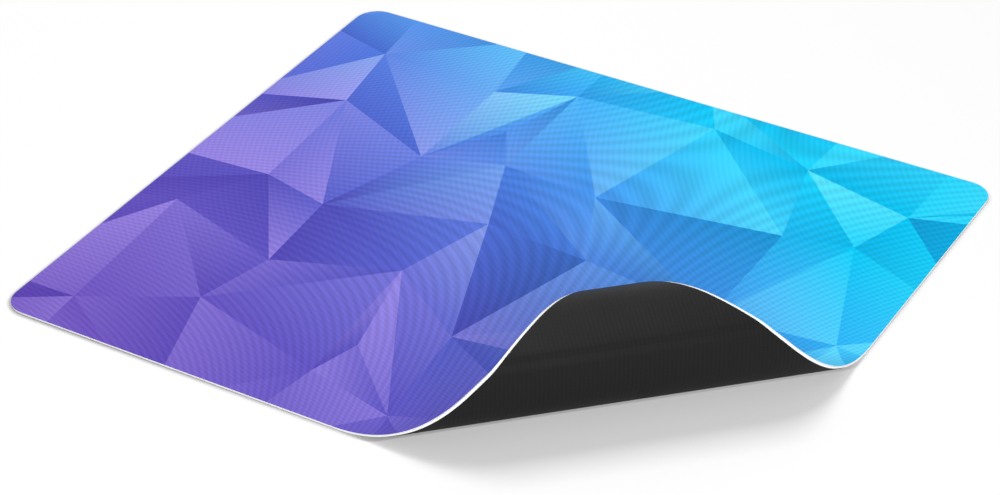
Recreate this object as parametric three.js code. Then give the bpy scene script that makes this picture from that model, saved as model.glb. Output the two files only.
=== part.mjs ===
// Mouse pad with one corner curled up and over, as a laminate of three bonded sheets:
// a printed cloth top, a white foam core and a dark rubber base.
// Millimetres, +Z up. The origin is the middle of the pad on the desk,
// +X runs along the long side and the curled corner is at +X, -Y.

import * as THREE from 'three';
import { mergeVertices } from 'three/addons/utils/BufferGeometryUtils.js';

const { degToRad, lerp } = THREE.MathUtils;

// The flat pad
const padLength = 250;
const padWidth = 220;
const cornerRadius = 8.5;

// The layers, from the desk up. The glue line parts each layer from the next,
// and the rubber stops short of the cut edge of the foam.
const rubberThickness = 0.18;
const rubberInset = 0.8;
const glueLine = 0.02;
const foamThickness = 0.38;
const clothThickness = 0.2;

// The curl. Its fold lies across the corner: the bearing is the way from the middle of the pad
// over the fold, and the reach is the length of sheet from the fold's start to the corner's tip.
const curlBearing = degToRad(-46.33);
const curlReach = 81.13;

// The section of the curl, as tangent arcs on the underside of the pad: the sheet lifts off the
// desk, stands up, turns over sharply, runs back in a slack arch and rolls down to the tip,
// where the last arc ends with the sheet.
const liftRadius = 21.6;
const liftTurn = degToRad(89.7);
const standRadius = 96.2;
const standTurn = degToRad(3.3);
const crownRadius = 6;
const crownTurn = degToRad(61.7);
const slackRadius = 40.6;
const slackTurn = degToRad(15.8);
const rollRadius = 21.5;

// Fineness of the facets
const cornerSteps = 6;
const bendStep = degToRad(4);
const leastRow = 0.05;

const towardsCorner = new THREE.Vector2(Math.cos(curlBearing), Math.sin(curlBearing));
const alongFold = new THREE.Vector2(-towardsCorner.y, towardsCorner.x);

// Centre of the rounding at the curled corner, and from it the line where the fold starts
const curledCentre = new THREE.Vector2(padLength / 2 - cornerRadius, cornerRadius - padWidth / 2);
const foldStart = curledCentre.dot(towardsCorner) + cornerRadius - curlReach;

// Outline of a flat layer, counter-clockwise, with its edge drawn in by the inset
function flatOutline(inset) {
  const radius = cornerRadius - inset;
  const x = padLength / 2 - cornerRadius;
  const y = padWidth / 2 - cornerRadius;
  const quarter = Math.PI / 2;
  const outline = new THREE.Shape();
  outline.absarc(x, -y, radius, -quarter, 0);
  outline.absarc(x, y, radius, 0, quarter);
  outline.absarc(-x, y, radius, quarter, 2 * quarter);
  outline.absarc(-x, -y, radius, 2 * quarter, 3 * quarter);
  outline.closePath();
  return outline.getPoints(cornerSteps);
}

// The same outline measured from the fold: past it towards the corner, and along it
function outlineFromFold(inset) {
  return flatOutline(inset).map((point) => ({
    past: point.dot(towardsCorner) - foldStart,
    along: point.dot(alongFold),
  }));
}

// Stations of the bend. Each holds its distance past the fold, the turn of the sheet there,
// and where the underside of the pad then is, forward of the fold and up from the desk.
function bendStations() {
  const arcs = [
    { radius: liftRadius, turn: liftTurn },
    { radius: standRadius, turn: standTurn },
    { radius: crownRadius, turn: crownTurn },
    { radius: slackRadius, turn: slackTurn },
  ];
  const used = arcs.reduce((length, arc) => length + arc.radius * arc.turn, 0);
  arcs.push({ radius: rollRadius, turn: Math.max(curlReach - used, rollRadius * bendStep) / rollRadius });

  let station = { past: 0, turn: 0, forward: 0, up: 0 };
  const stations = [station];
  for (const arc of arcs) {
    const steps = Math.ceil(arc.turn / bendStep);
    const turnStep = arc.turn / steps;
    const chord = 2 * arc.radius * Math.sin(turnStep / 2);
    for (let step = 0; step < steps; step += 1) {
      const heading = station.turn + turnStep / 2;
      station = {
        past: station.past + arc.radius * turnStep,
        turn: station.turn + turnStep,
        forward: station.forward + chord * Math.cos(heading),
        up: station.up + chord * Math.sin(heading),
      };
      stations.push(station);
    }
  }
  return stations;
}

const stations = bendStations();

// A point at a height in the laminate, over a station
function overStation(station, height) {
  return {
    forward: station.forward - height * Math.sin(station.turn),
    up: station.up + height * Math.cos(station.turn),
  };
}

// Bends a point of the flat sheet. Between two stations it lies on the straight facet, so that
// the faces of neighbouring layers stay parallel whatever rows each layer has.
function bend(past, height) {
  if (past <= 0) return { forward: past, up: height };
  const found = stations.findIndex((station) => station.past >= past);
  const last = found < 0 ? stations.length - 1 : Math.max(found, 1);
  const before = stations[last - 1];
  const after = stations[last];
  const share = (past - before.past) / (after.past - before.past);
  const from = overStation(before, height);
  const to = overStation(after, height);
  return { forward: lerp(from.forward, to.forward, share), up: lerp(from.up, to.up, share) };
}

// Lowest and highest place along the fold at which a row crosses a convex outline
function rowAcross(outline, past) {
  const places = [];
  outline.forEach((a, index) => {
    const b = outline[(index + 1) % outline.length];
    if ((a.past - past) * (b.past - past) > 0) return;
    const share = a.past === b.past ? 0 : (past - a.past) / (b.past - a.past);
    places.push(lerp(a.along, b.along, share));
  });
  return { past, low: Math.min(...places), high: Math.max(...places) };
}

// Rows of a layer: one at each corner of its outline and one at each station of the bend
function layerRows(outline) {
  const pasts = outline.map((point) => point.past);
  const furthest = Math.max(...pasts);
  const inside = stations.map((station) => station.past).filter((past) => past < furthest - leastRow);
  const sorted = [...pasts, ...inside].sort((a, b) => a - b);
  const spaced = sorted.filter((past, index) => index === 0 || past - sorted[index - 1] > leastRow);
  return spaced.map((past) => rowAcross(outline, past));
}

// Place in space of a point of the bent sheet
function placed(past, along, height) {
  const { forward, up } = bend(past, height);
  const plan = towardsCorner.clone().multiplyScalar(foldStart + forward);
  plan.addScaledVector(alongFold, along);
  return [plan.x, plan.y, up];
}

// Triangles without those that have no area, left where a row is a single point
function withoutEmptyTriangles(geometry) {
  const corners = Array.from(geometry.index.array);
  const kept = [];
  for (let i = 0; i < corners.length; i += 3) {
    const [a, b, c] = corners.slice(i, i + 3);
    if (a !== b && b !== c && c !== a) kept.push(a, b, c);
  }
  geometry.setIndex(kept);
  return geometry;
}

// Solid of one layer: the rows are joined like the rungs of a ladder into an upper and a lower
// face, the two cut edges and a closing face at each end.
function layerGeometry(inset, bottom, thickness) {
  const top = bottom + thickness;
  const rungs = layerRows(outlineFromFold(inset)).map(({ past, low, high }) => ({
    lowerLow: placed(past, low, bottom),
    lowerHigh: placed(past, high, bottom),
    upperLow: placed(past, low, top),
    upperHigh: placed(past, high, top),
  }));
  const positions = [];
  const quad = (a, b, c, d) => positions.push(...a, ...b, ...c, ...a, ...c, ...d);
  rungs.slice(1).forEach((next, index) => {
    const rung = rungs[index];
    quad(rung.upperLow, next.upperLow, next.upperHigh, rung.upperHigh);
    quad(rung.lowerHigh, next.lowerHigh, next.lowerLow, rung.lowerLow);
    quad(rung.lowerLow, next.lowerLow, next.upperLow, rung.upperLow);
    quad(rung.upperHigh, next.upperHigh, next.lowerHigh, rung.lowerHigh);
  });
  const first = rungs[0];
  const last = rungs[rungs.length - 1];
  quad(first.lowerHigh, first.lowerLow, first.upperLow, first.upperHigh);
  quad(last.lowerLow, last.lowerHigh, last.upperHigh, last.upperLow);

  const geometry = new THREE.BufferGeometry();
  geometry.setAttribute('position', new THREE.Float32BufferAttribute(positions, 3));
  const merged = withoutEmptyTriangles(mergeVertices(geometry, glueLine / 4));
  merged.computeVertexNormals();
  return merged;
}

function layer(name, inset, bottom, thickness, material) {
  const mesh = new THREE.Mesh(layerGeometry(inset, bottom, thickness), material);
  mesh.name = name;
  return mesh;
}

// Dark natural rubber, moulded with a fine grip pattern: matt and nearly black
function rubberBase() {
  const material = new THREE.MeshStandardMaterial({ color: 0x2e2f31, roughness: 0.8, metalness: 0 });
  return layer('rubber_base', rubberInset, 0, rubberThickness, material);
}

// White foamed rubber, seen only at the cut edge
function foamCore() {
  const material = new THREE.MeshStandardMaterial({ color: 0xf1f1ee, roughness: 0.9, metalness: 0 });
  return layer('foam_core', 0, rubberThickness + glueLine, foamThickness, material);
}

// Woven polyester with a dyed print, here in the print's middle blue
function printedCloth() {
  const material = new THREE.MeshStandardMaterial({ color: 0x4f74cf, roughness: 0.85, metalness: 0 });
  const bottom = rubberThickness + glueLine + foamThickness + glueLine;
  return layer('printed_cloth', 0, bottom, clothThickness, material);
}

const mousePad = new THREE.Group();
mousePad.name = 'mouse_pad';
mousePad.add(rubberBase(), foamCore(), printedCloth());

export default mousePad;
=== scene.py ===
"""A mouse pad with one corner curled up and over: printed cloth, foam core and rubber base."""

import math
import random

import bmesh
import bpy
from bpy.props import FloatProperty, FloatVectorProperty, IntProperty, PointerProperty
from mathutils import Matrix, Vector


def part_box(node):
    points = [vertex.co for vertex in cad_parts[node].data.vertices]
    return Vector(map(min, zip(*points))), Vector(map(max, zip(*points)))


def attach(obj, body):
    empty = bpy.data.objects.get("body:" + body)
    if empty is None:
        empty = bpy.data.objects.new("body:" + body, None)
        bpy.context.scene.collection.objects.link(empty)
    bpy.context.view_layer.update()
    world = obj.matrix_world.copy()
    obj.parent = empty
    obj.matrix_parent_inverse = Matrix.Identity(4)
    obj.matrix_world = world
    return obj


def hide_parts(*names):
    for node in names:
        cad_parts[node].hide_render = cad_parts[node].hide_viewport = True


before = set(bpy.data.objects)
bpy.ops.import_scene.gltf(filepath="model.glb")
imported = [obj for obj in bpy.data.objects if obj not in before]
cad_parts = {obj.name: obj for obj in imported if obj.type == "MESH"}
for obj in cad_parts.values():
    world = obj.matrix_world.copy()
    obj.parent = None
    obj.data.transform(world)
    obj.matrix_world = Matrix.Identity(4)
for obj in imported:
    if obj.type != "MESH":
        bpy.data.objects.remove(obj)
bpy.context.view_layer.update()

bl_info = {
    "name": "Mouse Pad",
    "version": (1, 0, 0),
    "blender": (4, 5, 0),
    "location": "3D View > Sidebar > Mouse Pad",
    "description": "Makes a cloth-topped mouse pad with a curled corner on a white floor",
    "category": "Add Mesh",
}

CORE_LOW, CORE_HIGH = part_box("foam_core")

# Fineness of the meshes and of their cuts. The sheet turns by the row turn from one row to the next,
# and where it is nearly straight its rows are spaced as on the largest row radius.
CORNER_STEPS = 12
ROW_TURN = math.radians(2.5)
LARGEST_ROW_RADIUS = 0.03
SNAP = 0.000005
SHARP_ANGLE = math.radians(35)

# Rounding of the rims of the cut edges
FOAM_RIM = 0.00008
RUBBER_RIM = 0.00006
RIM_SEGMENTS = 2


def linear(colour):
    """Scene colour of an sRGB hex colour such as "#6F52BE"."""
    shares = [int(colour[i:i + 2], 16) / 255 for i in (1, 3, 5)]
    return tuple(s / 12.92 if s <= 0.04045 else ((s + 0.055) / 1.055) ** 2.4 for s in shares)


def length_property(name, description, default):
    """A size in metres."""
    return FloatProperty(name=name, description=description, default=default, min=0, unit="LENGTH", precision=5)


def angle_property(name, description, degrees):
    """An angle, given in degrees and kept in radians."""
    return FloatProperty(name=name, description=description, default=math.radians(degrees), unit="ROTATION")


def colour_property(name, description, colour):
    """A colour, given as sRGB hex and kept linear."""
    return FloatVectorProperty(
        name=name, description=description, default=linear(colour), size=3, min=0, max=1, subtype="COLOR"
    )


class PadSheet(bpy.types.PropertyGroup):
    """The flat pad and its layers, from the desk up."""

    length: length_property("Length", "Long side of the pad", CORE_HIGH.x - CORE_LOW.x)
    width: length_property("Width", "Short side of the pad", CORE_HIGH.y - CORE_LOW.y)
    corner_radius: length_property("Corner Radius", "Rounding of the corners in plan", 0.0085)
    rubber: length_property("Rubber", "Thickness of the rubber base", 0.00018)
    rubber_inset: length_property("Rubber Inset", "How far the rubber stops short of the cut edge", 0.0008)
    glue: length_property("Glue Line", "Gap between two layers", 0.00002)
    foam: length_property("Foam", "Thickness of the foam core", 0.00038)
    cloth: length_property("Cloth", "Thickness of the printed cloth", 0.0002)


class PadCurl(bpy.types.PropertyGroup):
    """The curled corner: where its fold lies and the arcs of its section."""

    bearing: angle_property("Bearing", "Way from the middle of the pad over the fold", -46.33)
    reach: length_property("Reach", "Sheet from the fold's start to the corner's tip", 0.08113)
    lift_radius: length_property("Lift Radius", "Radius where the sheet leaves the desk", 0.0216)
    lift_turn: angle_property("Lift Turn", "Turn where the sheet leaves the desk", 89.7)
    stand_radius: length_property("Stand Radius", "Radius where the sheet stands up, nearly straight", 0.0962)
    stand_turn: angle_property("Stand Turn", "Turn where the sheet stands up", 3.3)
    crown_radius: length_property("Crown Radius", "Radius where the sheet turns over", 0.006)
    crown_turn: angle_property("Crown Turn", "Turn where the sheet turns over", 61.7)
    slack_radius: length_property("Slack Radius", "Radius of the slack arch behind the crown", 0.0406)
    slack_turn: angle_property("Slack Turn", "Turn of the slack arch", 15.8)
    roll_radius: length_property("Roll Radius", "Radius where the sheet rolls down, up to its tip", 0.0215)


class PadPrint(bpy.types.PropertyGroup):
    """The dyed print: flat facets with soft gradients, over a wash along the pad's long diagonal."""

    columns: IntProperty(name="Columns", description="Facet pairs along the pad", default=7, min=1)
    rows: IntProperty(name="Rows", description="Facet pairs across the pad", default=6, min=1)
    seed: IntProperty(name="Seed", description="Draws another layout of facets", default=21)
    wander: FloatProperty(
        name="Wander", description="How far a facet's corner strays, as a share of a cell",
        default=0.3, min=0, max=0.5,
    )
    split: FloatProperty(
        name="Split", description="Share of the facets that are split into three", default=0.08, min=0, max=1
    )
    violet: colour_property("Violet", "Wash at the left corner", "#7152BA")
    indigo: colour_property("Indigo", "Wash left of the middle", "#5F57C2")
    blue: colour_property("Blue", "Wash in the middle", "#4F74DC")
    azure: colour_property("Azure", "Wash right of the middle", "#449FF6")
    cyan: colour_property("Cyan", "Wash at the right corner", "#00CFFA")
    warm_light: colour_property("Warm Light", "Tint of the light facets on the violet side", "#B29CF2")
    cool_light: colour_property("Cool Light", "Tint of the light facets on the cyan side", "#78F4FF")
    warm_shade: colour_property("Warm Shade", "Tint of the dark facets on the violet side", "#4433A0")
    cool_shade: colour_property("Cool Shade", "Tint of the dark facets on the cyan side", "#0F80C2")


class PadStudio(bpy.types.PropertyGroup):
    """The camera and the light."""

    camera: FloatVectorProperty(
        name="Camera", description="Place of the camera", default=(0.39238, -0.67247, 0.53438), unit="LENGTH"
    )
    yaw: angle_property("Yaw", "Turn of the camera about the vertical", 30.544)
    tilt: angle_property("Tilt", "Angle of the view below the horizon", 34.464)
    roll: angle_property("Roll", "Turn of the camera about its view", -0.46)
    lens: FloatProperty(name="Lens", description="Focal length on a 36 mm sensor", default=103.56, unit="CAMERA")
    sky: FloatProperty(name="Sky", description="Strength of the even white light", default=0.29, min=0)
    key: FloatProperty(name="Key", description="Power of the softbox behind the pad", default=12.1, min=0)
    fill: FloatProperty(name="Fill", description="Power of the softbox on the viewer's side", default=14.6, min=0)
    # Painted light: the share by which the paper near the pad glows where seen directly, lightening the shadows on
    # it
    glow: FloatProperty(
        name="Glow", description="How far the paper by the pad shows white whatever shade lies on it",
        default=0.25, min=0, max=1,
    )


def settings(context):
    """The scene's settings of the pad."""
    return context.scene.mouse_pad


class Fold:
    """The curl of the corner as a bend about one direction, with its section made of tangent arcs."""

    def __init__(self, sheet, curl):
        self.towards = Vector((math.cos(curl.bearing), math.sin(curl.bearing), 0))
        self.along = Vector((-self.towards.y, self.towards.x, 0))
        radius = sheet.corner_radius
        centre = Vector((sheet.length / 2 - radius, radius - sheet.width / 2, 0))
        self.start = centre.dot(self.towards) + radius - curl.reach
        arcs = [
            (curl.lift_radius, curl.lift_turn),
            (curl.stand_radius, curl.stand_turn),
            (curl.crown_radius, curl.crown_turn),
            (curl.slack_radius, curl.slack_turn),
        ]
        used = sum(radius * turn for radius, turn in arcs)
        arcs.append((curl.roll_radius, (curl.reach - used) / curl.roll_radius))
        self.arcs = []
        past = turned = forward = up = 0.0
        for radius, turn in arcs:
            self.arcs.append((past, turned, forward, up, radius))
            past += radius * turn
            forward += radius * (math.sin(turned + turn) - math.sin(turned))
            up += radius * (math.cos(turned) - math.cos(turned + turn))
            turned += turn
        self.end = past

    def rows(self):
        """Distances past the fold at which the sheet is cut, so that it bends smoothly."""
        found = []
        ends = [arc[0] for arc in self.arcs[1:]] + [self.end]
        for (past, _, _, _, radius), end in zip(self.arcs, ends):
            count = math.ceil((end - past) / (min(radius, LARGEST_ROW_RADIUS) * ROW_TURN))
            found += [past + (end - past) * i / count for i in range(count)]
        return found

    def place(self, point):
        """Where a point of the flat sheet lies once it is bent."""
        past = point.dot(self.towards) - self.start
        if past <= 0:
            return point.copy()
        from_past, turned, forward, up, radius = [arc for arc in self.arcs if arc[0] <= past][-1]
        turn = turned + (past - from_past) / radius
        forward += radius * (math.sin(turn) - math.sin(turned)) - point.z * math.sin(turn)
        up += radius * (math.cos(turned) - math.cos(turn)) + point.z * math.cos(turn)
        place = self.towards * (self.start + forward) + self.along * point.dot(self.along)
        place.z = up
        return place


def cut(bm, place, normal, clear=False):
    """Cuts the whole mesh along a plane, and clears what lies outside it if asked."""
    bmesh.ops.bisect_plane(
        bm, geom=bm.verts[:] + bm.edges[:] + bm.faces[:], dist=SNAP,
        plane_co=place, plane_no=normal, clear_outer=clear,
    )


def trim_to_outline(bm, sheet, inset):
    """Cuts a flat mesh down to the pad's rounded outline, drawn in by the inset."""
    half = Vector((sheet.length / 2, sheet.width / 2, 0))
    radius = sheet.corner_radius - inset
    for quarter in range(4):
        turn = Matrix.Rotation(quarter * math.pi / 2, 4, "Z")
        side = turn @ Vector((1, 0, 0))
        cut(bm, side * (abs(side.dot(half)) - inset), side, clear=True)
        signs = turn @ Vector((1, 1, 0))
        centre = Vector([sign * (h - sheet.corner_radius) for sign, h in zip(signs, half)])
        for step in range(CORNER_STEPS):
            start = quarter * math.pi / 2 + step * math.pi / 2 / CORNER_STEPS
            middle = start + math.pi / 4 / CORNER_STEPS
            point = centre + radius * Vector((math.cos(start), math.sin(start), 0))
            cut(bm, point, Vector((math.cos(middle), math.sin(middle), 0)), clear=True)


def cut_rows(bm, fold):
    """Cuts the sheet along the fold's rows."""
    for past in fold.rows():
        cut(bm, fold.towards * (fold.start + past), fold.towards)


def bend_sheet(bm, fold):
    """Curls the corner of a flat, thick sheet."""
    for vert in bm.verts:
        vert.co = fold.place(vert.co)


def lay_flat_map(bm):
    """Keeps each point's place on the flat sheet, in metres, as the UV map that the patterns read."""
    layer = bm.loops.layers.uv.new("flat")
    for face in bm.faces:
        for loop in face.loops:
            loop[layer].uv = loop.vert.co.xy


def thicken(bm, bottom, thickness):
    """Gives a flat sheet its thickness, from a height above the desk."""
    bmesh.ops.translate(bm, verts=bm.verts[:], vec=(0, 0, bottom))
    grown = bmesh.ops.extrude_face_region(bm, geom=bm.faces[:])["geom"]
    upper = [e for e in grown if isinstance(e, bmesh.types.BMVert)]
    bmesh.ops.translate(bm, verts=upper, vec=(0, 0, thickness))
    bmesh.ops.recalc_face_normals(bm, faces=bm.faces[:])


def is_wall(face):
    """Whether a face of the flat, thick sheet is part of its cut edge."""
    return abs(face.normal.z) < 0.5


def round_rims(bm, width, upper=True):
    """Rounds the lower rim of the cut edge of a flat, thick sheet, and the upper one too if asked."""
    middle = sum(v.co.z for v in bm.verts) / len(bm.verts)
    rims = []
    for edge in bm.edges:
        if len(edge.link_faces) != 2 or is_wall(edge.link_faces[0]) == is_wall(edge.link_faces[1]):
            continue
        if upper or edge.verts[0].co.z <= middle:
            rims.append(edge)
    bmesh.ops.bevel(
        bm, geom=rims, offset=width, offset_type="OFFSET", segments=RIM_SEGMENTS, profile=0.5,
        affect="EDGES", clamp_overlap=True, material=-1,
    )


def finish_piece(bm, name, node, materials):
    """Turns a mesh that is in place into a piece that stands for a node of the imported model."""
    mesh = bpy.data.meshes.new(name)
    bm.to_mesh(mesh)
    bm.free()
    mesh.shade_smooth()
    mesh.set_sharp_from_angle(angle=SHARP_ANGLE)
    for material in materials:
        mesh.materials.append(material)
    piece = bpy.data.objects.new(name, mesh)
    bpy.context.scene.collection.objects.link(piece)
    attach(piece, "root")
    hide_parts(node)
    return piece


def in_use(sockets, key):
    """The socket of a number, or of a name among those that the node's options leave in use."""
    if isinstance(key, int):
        return sockets[key]
    return next(socket for socket in sockets if socket.name == key and socket.enabled)


def add(tree, kind, inputs=None, out=None, **options):
    """Adds a node with its options, and its inputs as values or as the sockets that feed them.

    Gives the output of the name that is asked for, or else the first one, or the node if it has none.
    """
    made = tree.nodes.new(kind)
    for name, value in options.items():
        setattr(made, name, value)
    for key, value in (inputs or {}).items():
        socket = in_use(made.inputs, key)
        if isinstance(value, bpy.types.NodeSocket):
            tree.links.new(value, socket)
        else:
            socket.default_value = value
    if not made.outputs:
        return made
    return in_use(made.outputs, out) if out else made.outputs[0]


def new_material(name):
    """A material and its empty node tree."""
    material = bpy.data.materials.new(name)
    material.use_nodes = True
    material.node_tree.nodes.clear()
    return material, material.node_tree


def surface(tree, kind, inputs):
    """Adds the shader and joins it to the output."""
    add(tree, "ShaderNodeOutputMaterial", {"Surface": add(tree, kind, inputs)})


def wave_scale(period):
    """Scale of a Wave Texture whose bands lie a period apart, in metres."""
    return math.pi / 10 / period


# Real threads lie 0.35 mm apart, too fine to show: they are drawn twice as coarse
THREAD_PITCH = 0.0007
# A thread is a little thicker and darker over stretches of this length
SLUB_LENGTH = 0.012
# Warp and weft each drift against the knitted back of the cloth, which gives watered bands.
# Of each set: bands to a metre, along and across, in the middle of the pad, and how these numbers
# change with each metre along, with each metre either way, and with each metre across.
BROAD_WATER = ((-145.0, -138.0), (-3500.0, 3500.0, -90.0))
FINE_WATER = ((350.0, 428.0), (-1170.0, 1650.0, -2990.0))
# How bright the dye is between the threads, and how much each pattern adds to it
PLAIN_TONE = 0.89
THREAD_TONE = 0.1
BROAD_TONE = 0.08
FINE_TONE = 0.045
SLUB_TONE = 0.06
THREAD_RELIEF = 0.00003


def watered_bands(tree, flat, water):
    """Bands from -1 to 1 whose spacing and direction drift over the sheet."""
    (along, across), (alongs, both, acrosses) = water
    bend_along, bend_across = (
        add(tree, "ShaderNodeVectorMath", {0: flat, 1: change}, out="Value", operation="DOT_PRODUCT")
        for change in ((alongs / 2, both / 2, 0.0), (both / 2, acrosses / 2, 0.0))
    )
    bend = add(tree, "ShaderNodeCombineXYZ", {"X": bend_along, "Y": bend_across})
    lean = add(tree, "ShaderNodeVectorMath", {0: bend, 1: (along, across, 0.0)}, operation="ADD")
    turns = add(tree, "ShaderNodeVectorMath", {0: lean, 1: flat}, out="Value", operation="DOT_PRODUCT")
    angle = add(tree, "ShaderNodeMath", {0: turns, 1: 2 * math.pi}, operation="MULTIPLY")
    return add(tree, "ShaderNodeMath", {0: angle}, operation="SINE")


def woven_polyester():
    """Dyed plain-weave polyester: matt, with a fine grid of threads and faint watered bands."""
    material, tree = new_material("dyed_woven_polyester")
    flat = add(tree, "ShaderNodeUVMap", uv_map="flat")
    dye = add(tree, "ShaderNodeAttribute", out="Color", attribute_name="dye")
    thread = {
        "Vector": flat, "Scale": wave_scale(THREAD_PITCH), "Distortion": 0.3, "Detail": 1.0, "Detail Scale": 40.0,
    }
    warp = add(tree, "ShaderNodeTexWave", thread, out="Fac", bands_direction="X")
    weft = add(tree, "ShaderNodeTexWave", thread, out="Fac", bands_direction="Y")
    threads = add(tree, "ShaderNodeMath", {0: warp, 1: weft}, operation="ADD")

    stretched = add(tree, "ShaderNodeMapping", {"Vector": flat, "Scale": (1 / SLUB_LENGTH, 1 / THREAD_PITCH, 1.0)})
    slubs = add(tree, "ShaderNodeTexNoise", {"Vector": stretched, "Scale": 1.0, "Detail": 1.0}, out="Fac")
    broad = watered_bands(tree, flat, BROAD_WATER)
    fine = watered_bands(tree, flat, FINE_WATER)

    roughness = add(tree, "ShaderNodeMapRange", {"Value": threads, "From Max": 2.0, "To Min": 0.86, "To Max": 0.72})
    tone = PLAIN_TONE
    for pattern, depth in ((threads, THREAD_TONE), (broad, BROAD_TONE), (fine, FINE_TONE), (slubs, SLUB_TONE)):
        tone = add(tree, "ShaderNodeMath", {0: pattern, 1: depth, 2: tone}, operation="MULTIPLY_ADD")
    colour = add(tree, "ShaderNodeVectorMath", {0: dye, "Scale": tone}, operation="SCALE")
    surface(tree, "ShaderNodeBsdfPrincipled", {
        "Base Color": colour,
        "Roughness": roughness,
        "Normal": add(tree, "ShaderNodeBump", {"Strength": 0.5, "Distance": THREAD_RELIEF, "Height": threads}),
        "IOR": 1.45,
        "Specular IOR Level": 0.06,
    })
    return material


# Fibre ends to a metre. Real ones are 0.02 mm wide, too fine to show: they are drawn 0.4 mm apart.
FIBRE_ENDS = 2500.0


def cut_polyester():
    """Undyed polyester fibre at the die-cut edge: white, with a fine fuzz of fibre ends."""
    material, tree = new_material("cut_polyester_fibre")
    place = add(tree, "ShaderNodeTexCoord", out="Object")
    fibres = add(tree, "ShaderNodeTexNoise", {"Vector": place, "Scale": FIBRE_ENDS}, out="Fac")
    colour = add(
        tree, "ShaderNodeMix", {"Factor": fibres, "A": (*linear("#EFF0F5"), 1), "B": (*linear("#FFFFFF"), 1)},
        out="Result", data_type="RGBA",
    )
    surface(tree, "ShaderNodeBsdfPrincipled", {"Base Color": colour, "Roughness": 0.9})
    return material


# Cells of the foam to a metre, each 0.22 mm wide, and how deep they are cut open
FOAM_CELLS = 4500.0
CELL_DEPTH = 0.00005


def foam_rubber():
    """White foamed rubber, die cut: matt, with the open cells that the cut leaves."""
    material, tree = new_material("die_cut_foam_rubber")
    place = add(tree, "ShaderNodeTexCoord", out="Object")
    cells = add(tree, "ShaderNodeTexVoronoi", {"Vector": place, "Scale": FOAM_CELLS}, out="Distance")
    surface(tree, "ShaderNodeBsdfPrincipled", {
        "Base Color": (*linear("#FCFCFA"), 1),
        "Roughness": 0.85,
        "Normal": add(tree, "ShaderNodeBump", {"Strength": 0.3, "Distance": CELL_DEPTH, "Height": cells}),
    })
    return material


# The grip pattern: ribs that run over the fold, crossed by shallower ones that run with it. Real ribs
# are too fine to show, and are drawn about twice as coarse.
RIB_PITCH = 0.00135
RIB_HEIGHT = 0.00008
CROSS_SHARE = 0.4
# Bloom, the dull film that rubber grows: patches to a metre, each some 17 mm wide, and its share of the shade
BLOOM_PATCHES = 60.0
BLOOM_SHARE = 0.4


def moulded_rubber(bearing):
    """Dark natural rubber, moulded against a fine diagonal grip pattern: near black with a dull sheen."""
    material, tree = new_material("moulded_natural_rubber")
    flat = add(tree, "ShaderNodeUVMap", uv_map="flat")
    turned = add(tree, "ShaderNodeMapping", {"Vector": flat, "Rotation": (0.0, 0.0, -bearing)})
    rib = {"Vector": turned, "Scale": wave_scale(RIB_PITCH)}
    ribs = add(tree, "ShaderNodeTexWave", rib, out="Fac", bands_direction="Y")
    cross = add(tree, "ShaderNodeTexWave", rib, out="Fac", bands_direction="X")
    grip = add(tree, "ShaderNodeMath", {0: cross, 1: CROSS_SHARE, 2: ribs}, operation="MULTIPLY_ADD")
    bloom = add(tree, "ShaderNodeTexNoise", {"Vector": flat, "Scale": BLOOM_PATCHES, "Detail": 3.0}, out="Fac")
    shade = add(tree, "ShaderNodeMath", {0: bloom, 1: BLOOM_SHARE, 2: grip}, operation="MULTIPLY_ADD")
    lightness = add(tree, "ShaderNodeMapRange", {"Value": shade, "From Max": 1.0 + CROSS_SHARE + BLOOM_SHARE})
    colour = add(
        tree, "ShaderNodeMix",
        {"Factor": lightness, "A": (*linear("#131314"), 1), "B": (*linear("#1A1A1B"), 1)},
        out="Result", data_type="RGBA",
    )
    surface(tree, "ShaderNodeBsdfPrincipled", {
        "Base Color": colour,
        "Roughness": add(tree, "ShaderNodeMapRange", {"Value": bloom, "To Min": 0.55, "To Max": 0.7}),
        "Normal": add(tree, "ShaderNodeBump", {"Strength": 0.4, "Distance": RIB_HEIGHT, "Height": grip}),
        "Specular IOR Level": 0.12,
    })
    return material


def seen_directly(tree):
    """1 where a ray comes from the eye or off a gloss, else 0."""
    eye = add(tree, "ShaderNodeLightPath", out="Is Camera Ray")
    gloss = add(tree, "ShaderNodeLightPath", out="Is Glossy Ray")
    return add(tree, "ShaderNodeMath", {0: eye, 1: gloss}, operation="MAXIMUM")


# The painted shade on the paper where the pad meets it, drawn into the paper's colour from how near the pad is:
# how far from the pad's edge it reaches, how fast it fades, and how deep it is to the left and to the right
# of the pad's middle, at the span on either side. It is painted deeper on the left, because the softbox on
# the viewer's side stands on the right.
PAINTED_SHADE_REACH = 0.0018
PAINTED_SHADE_FADE = 8.0
PAINTED_SHADE_LEFT = 0.54
PAINTED_SHADE_RIGHT = 0.22
PAINTED_SHADE_SPAN = 0.12

# Distances from the middle of the pad at which the paper starts and ends to turn plain white
CLEAR_FROM = 0.25
CLEAR_TO = 0.9


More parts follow.
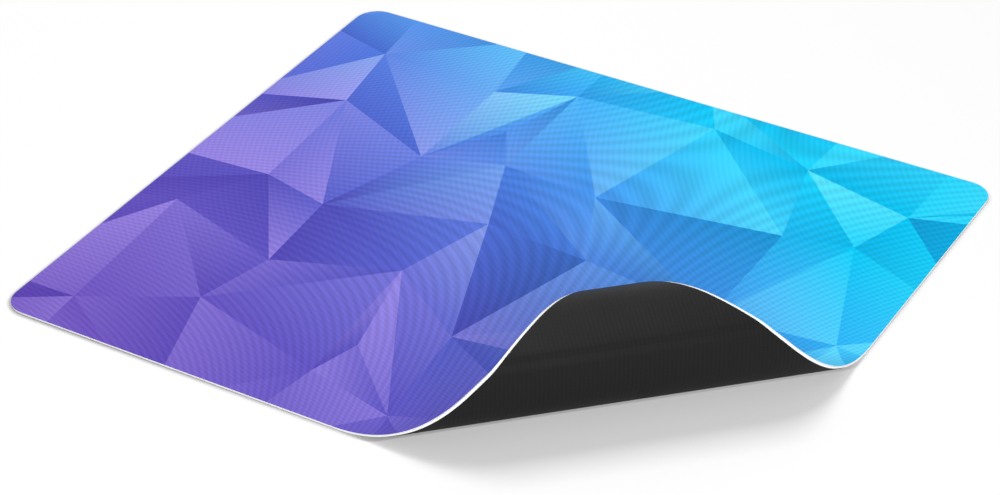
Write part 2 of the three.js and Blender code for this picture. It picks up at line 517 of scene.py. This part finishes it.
def paper_sweep(glow):
    """White paper that glows a little where seen directly, a painted light that lightens the shadows near the pad:
    matt, with soft grey shadows that a painted shade deepens where the pad meets it.

    Away from the pad it shows plain white, so that it has no horizon.
    """
    material, tree = new_material("white_paper_sweep")
    # Painted shade: ambient occlusion darkens the paper's own colour where the pad is near, more on the left than
    # on the right
    near = add(tree, "ShaderNodeAmbientOcclusion", {"Distance": PAINTED_SHADE_REACH}, out="AO", samples=8)
    clear = add(tree, "ShaderNodeMath", {0: near, 1: PAINTED_SHADE_FADE}, operation="POWER")
    place = add(tree, "ShaderNodeTexCoord", out="Object")
    across = add(tree, "ShaderNodeSeparateXYZ", {"Vector": place}, out="X")
    deepest_painted_shade = add(tree, "ShaderNodeMapRange", {
        "Value": across, "From Min": -PAINTED_SHADE_SPAN, "From Max": PAINTED_SHADE_SPAN,
        "To Min": 1.0 - PAINTED_SHADE_LEFT, "To Max": 1.0 - PAINTED_SHADE_RIGHT,
    })
    shade = add(tree, "ShaderNodeMapRange", {"Value": clear, "To Min": deepest_painted_shade})
    colour = add(tree, "ShaderNodeCombineColor", {"Red": shade, "Green": shade, "Blue": shade})
    paper = add(tree, "ShaderNodeBsdfDiffuse", {"Color": colour})
    # Painted light: where seen directly the paper glows, by the glow's share near the pad, which lightens the
    # shadows there, rising to plain white away from it
    light = add(tree, "ShaderNodeEmission", {"Color": colour, "Strength": 1.0})
    away = add(tree, "ShaderNodeVectorMath", {0: place}, out="Value", operation="LENGTH")
    open_glow = add(
        tree, "ShaderNodeMapRange", {"Value": away, "From Min": CLEAR_FROM, "From Max": CLEAR_TO, "To Min": glow},
        interpolation_type="SMOOTHSTEP",
    )
    share = add(tree, "ShaderNodeMath", {0: seen_directly(tree), 1: open_glow}, operation="MULTIPLY")
    surface(tree, "ShaderNodeMixShader", {0: share, 1: paper, 2: light})
    return material


# How far each side of the pad counts towards the cool end of the wash, and where its colours stand
COOL_ALONG = 0.46
COOL_ACROSS = 0.54
WASH_STOPS = (0.0, 0.3, 0.51, 0.65, 0.8)

# The facets' tints. Most draw theirs about a mean, and a few bold ones from a range of light tints.
# A tint above 0 lightens the wash and one below 0 shades it, the more by the depth of the shade, and
# each facet slopes from lighter to darker. All tints stay between the least and the most.
TINT_MEAN = 0.02
TINT_SPREAD = 0.14
BOLD_SHARE = 0.12
BOLD_TINTS = (0.3, 0.6)
SLOPES = (0.1, 0.3)
LEAST_TINT = -0.5
MOST_TINT = 0.9
SHADE_DEPTH = 1.9
# Where the light and dark tints start to turn from warm to cool, and over how much of the wash
TURN_START = 0.42
TURN_SPAN = 0.3
# Facets whose area is a smaller share of their squared outline keep closer to the wash
SLIVER_SHARE = 0.02
# How far the middle of a split facet strays, as a share of a cell
SPLIT_WANDER = 0.15


def mix_colour(a, b, share):
    """A colour between two, by a share."""
    return Vector(a).lerp(Vector(b), max(0.0, min(1.0, share)))


def coolness(point, sheet):
    """How far a place lies towards the right corner, from 0 at the left corner to 1."""
    return 0.5 + COOL_ALONG * point.x / sheet.length + COOL_ACROSS * point.y / sheet.width


def wash(design, cool):
    """Colour of the wash at a place."""
    colours = (design.violet, design.indigo, design.blue, design.azure, design.cyan)
    found = Vector(colours[0])
    for start, end, colour in zip(WASH_STOPS, WASH_STOPS[1:], colours[1:]):
        found = mix_colour(found, colour, (cool - start) / (end - start))
    return found


def dye_facets(bm, sheet, design, dice):
    """Gives each facet a tint of the wash and a soft gradient of its own."""
    layer = bm.loops.layers.float_color.new("dye")
    for face in bm.faces:
        centre = face.calc_center_median()
        tint = dice.gauss(TINT_MEAN, TINT_SPREAD)
        if dice.random() < BOLD_SHARE:
            tint = dice.uniform(*BOLD_TINTS)
        slope = dice.uniform(*SLOPES)
        fullness = min(1.0, face.calc_area() / (SLIVER_SHARE * face.calc_perimeter() ** 2))
        tint *= fullness
        slope *= fullness
        way = Matrix.Rotation(dice.uniform(0, 2 * math.pi), 3, "Z") @ Vector((1, 0, 0))
        size = math.sqrt(face.calc_area())
        for loop in face.loops:
            point = loop.vert.co
            cool = coolness(point, sheet)
            base = wash(design, cool)
            lift = max(LEAST_TINT, min(MOST_TINT, tint + slope * (point - centre).dot(way) / size))
            turned = (cool - TURN_START) / TURN_SPAN
            light = mix_colour(design.warm_light, design.cool_light, turned)
            shade = mix_colour(design.warm_shade, design.cool_shade, turned)
            colour = mix_colour(base, light, lift) if lift > 0 else mix_colour(base, shade, -SHADE_DEPTH * lift)
            loop[layer] = (*colour, 1.0)


def facet_sheet(sheet, design):
    """A flat sheet of triangular facets, larger than the pad, with their dyes."""
    dice = random.Random(design.seed)
    bm = bmesh.new()
    bmesh.ops.create_grid(bm, x_segments=design.columns, y_segments=design.rows, size=1)
    margin = 1 + 1 / min(design.columns, design.rows)
    bmesh.ops.scale(bm, verts=bm.verts[:], vec=(sheet.length / 2 * margin, sheet.width / 2 * margin, 1))
    cell = Vector((sheet.length * margin / design.columns, sheet.width * margin / design.rows, 0))
    for vert in bm.verts:
        vert.co += Vector([dice.uniform(-design.wander, design.wander) * side for side in cell])
    for face in bm.faces[:]:
        bmesh.ops.triangulate(bm, faces=[face], quad_method=dice.choice(("FIXED", "ALTERNATE")))
    chosen = [face for face in bm.faces if dice.random() < design.split]
    for vert in bmesh.ops.poke(bm, faces=chosen, center_mode="MEAN")["verts"]:
        vert.co += Vector([dice.uniform(-SPLIT_WANDER, SPLIT_WANDER) * side for side in cell])
    dye_facets(bm, sheet, design, dice)
    return bm


def plain_sheet(sheet):
    """A flat rectangle larger than the pad."""
    bm = bmesh.new()
    bmesh.ops.create_grid(bm, x_segments=1, y_segments=1, size=max(sheet.length, sheet.width))
    return bm


class MOUSEPAD_OT_cloth(bpy.types.Operator):
    """Make the printed cloth, bonded to the core"""

    bl_idname = "mousepad.cloth"
    bl_label = "Printed Cloth"

    def execute(self, context):
        pad = settings(context)
        fold = Fold(pad.sheet, pad.curl)
        bm = facet_sheet(pad.sheet, pad.design)
        trim_to_outline(bm, pad.sheet, 0.0)
        cut_rows(bm, fold)
        lay_flat_map(bm)
        bottom = pad.sheet.rubber + pad.sheet.foam + 2 * pad.sheet.glue
        thicken(bm, bottom, pad.sheet.cloth)
        for face in bm.faces:
            face.material_index = 1 if is_wall(face) else 0
        bend_sheet(bm, fold)
        piece = finish_piece(bm, "cloth_top", "printed_cloth", [woven_polyester(), cut_polyester()])
        return {"FINISHED"}


class MOUSEPAD_OT_core(bpy.types.Operator):
    """Make the white foam core, which shows at the cut edge"""

    bl_idname = "mousepad.core"
    bl_label = "Foam Core"

    def execute(self, context):
        pad = settings(context)
        fold = Fold(pad.sheet, pad.curl)
        bm = plain_sheet(pad.sheet)
        trim_to_outline(bm, pad.sheet, 0.0)
        thicken(bm, pad.sheet.rubber + pad.sheet.glue, pad.sheet.foam)
        round_rims(bm, FOAM_RIM)
        cut_rows(bm, fold)
        bend_sheet(bm, fold)
        piece = finish_piece(bm, "foam_sheet", "foam_core", [foam_rubber()])
        return {"FINISHED"}


class MOUSEPAD_OT_base(bpy.types.Operator):
    """Make the dark rubber base with its grip pattern"""

    bl_idname = "mousepad.base"
    bl_label = "Rubber Base"

    def execute(self, context):
        pad = settings(context)
        fold = Fold(pad.sheet, pad.curl)
        bm = plain_sheet(pad.sheet)
        trim_to_outline(bm, pad.sheet, pad.sheet.rubber_inset)
        lay_flat_map(bm)
        thicken(bm, 0.0, pad.sheet.rubber)
        round_rims(bm, RUBBER_RIM, upper=False)
        cut_rows(bm, fold)
        bend_sheet(bm, fold)
        finish_piece(bm, "rubber_sheet", "rubber_base", [moulded_rubber(pad.curl.bearing)])
        return {"FINISHED"}


# The softboxes, which both point at the pad: one behind it to the left, high up, and one on the
# viewer's side to the right, low enough to light the cut edges
SOFTBOX_SIZE = (0.65, 0.65)
KEY_PLACE = (-0.41, 0.31, 1.41)
FILL_PLACE = (0.98, -1.04, 0.67)

FLOOR_SIZE = 12
SENSOR_WIDTH = 36
CLIP_RANGE = (0.05, 20)


class MOUSEPAD_OT_stage(bpy.types.Operator):
    """Make the white floor, the light and the camera"""

    bl_idname = "mousepad.stage"
    bl_label = "Stage"

    def execute(self, context):
        studio = settings(context).studio
        scene = context.scene
        bpy.ops.mesh.primitive_plane_add(size=FLOOR_SIZE)
        floor = context.object
        floor.name = "floor"
        floor.data.materials.append(paper_sweep(studio.glow))

        world = bpy.data.worlds.new("even_white_light")
        world.use_nodes = True
        tree = world.node_tree
        background = tree.nodes["Background"]
        background.inputs["Color"].default_value = (1, 1, 1, 1)
        seen = seen_directly(tree)
        strength = add(tree, "ShaderNodeMapRange", {"Value": seen, "To Min": studio.sky, "To Max": 1.0})
        tree.links.new(strength, background.inputs["Strength"])
        scene.world = world

        for name, power, place in (("key", studio.key, KEY_PLACE), ("fill", studio.fill, FILL_PLACE)):
            lamp = bpy.data.lights.new(name, "AREA")
            lamp.shape = "RECTANGLE"
            lamp.size, lamp.size_y = SOFTBOX_SIZE
            lamp.energy = power
            softbox = bpy.data.objects.new(name, lamp)
            softbox.location = place
            softbox.rotation_mode = "QUATERNION"
            softbox.rotation_quaternion = (-softbox.location).to_track_quat("-Z", "Y")
            scene.collection.objects.link(softbox)

        lens = bpy.data.cameras.new("camera")
        lens.sensor_width = SENSOR_WIDTH
        lens.sensor_fit = "HORIZONTAL"
        lens.lens = studio.lens
        lens.clip_start, lens.clip_end = CLIP_RANGE
        camera = bpy.data.objects.new("camera", lens)
        camera.matrix_world = (
            Matrix.Translation(studio.camera)
            @ Matrix.Rotation(studio.yaw, 4, "Z")
            @ Matrix.Rotation(math.pi / 2 - studio.tilt, 4, "X")
            @ Matrix.Rotation(studio.roll, 4, "Z")
        )
        scene.collection.objects.link(camera)
        scene.camera = camera
        scene.view_settings.view_transform = "Standard"
        return {"FINISHED"}


class PadSettings(bpy.types.PropertyGroup):
    """All settings of the pad and its stage."""

    sheet: PointerProperty(type=PadSheet)
    curl: PointerProperty(type=PadCurl)
    design: PointerProperty(type=PadPrint)
    studio: PointerProperty(type=PadStudio)


class MOUSEPAD_PT_panel(bpy.types.Panel):
    """The pad's sizes and colours, and the operators that make it"""

    bl_idname = "MOUSEPAD_PT_panel"
    bl_label = "Mouse Pad"
    bl_space_type = "VIEW_3D"
    bl_region_type = "UI"
    bl_category = "Mouse Pad"

    def draw(self, context):
        pad = settings(context)
        groups = {"Sheet": pad.sheet, "Curl": pad.curl, "Print": pad.design, "Studio": pad.studio}
        for title, group in groups.items():
            box = self.layout.box()
            box.label(text=title)
            for name in group.__annotations__:
                box.prop(group, name)
        for operator in OPERATORS:
            self.layout.operator(operator.bl_idname)


OPERATORS = (MOUSEPAD_OT_cloth, MOUSEPAD_OT_core, MOUSEPAD_OT_base, MOUSEPAD_OT_stage)
CLASSES = (PadSheet, PadCurl, PadPrint, PadStudio, PadSettings, *OPERATORS, MOUSEPAD_PT_panel)


def register():
    """Adds the classes and the scene's settings of the pad."""
    for cls in CLASSES:
        bpy.utils.register_class(cls)
    bpy.types.Scene.mouse_pad = PointerProperty(type=PadSettings)


def unregister():
    """Takes them away again."""
    del bpy.types.Scene.mouse_pad
    for cls in reversed(CLASSES):
        bpy.utils.unregister_class(cls)


def main():
    """Makes the pad and its stage."""
    register()
    bpy.ops.mousepad.cloth()
    bpy.ops.mousepad.core()
    bpy.ops.mousepad.base()
    bpy.ops.mousepad.stage()


if __name__ == "__main__":
    main()
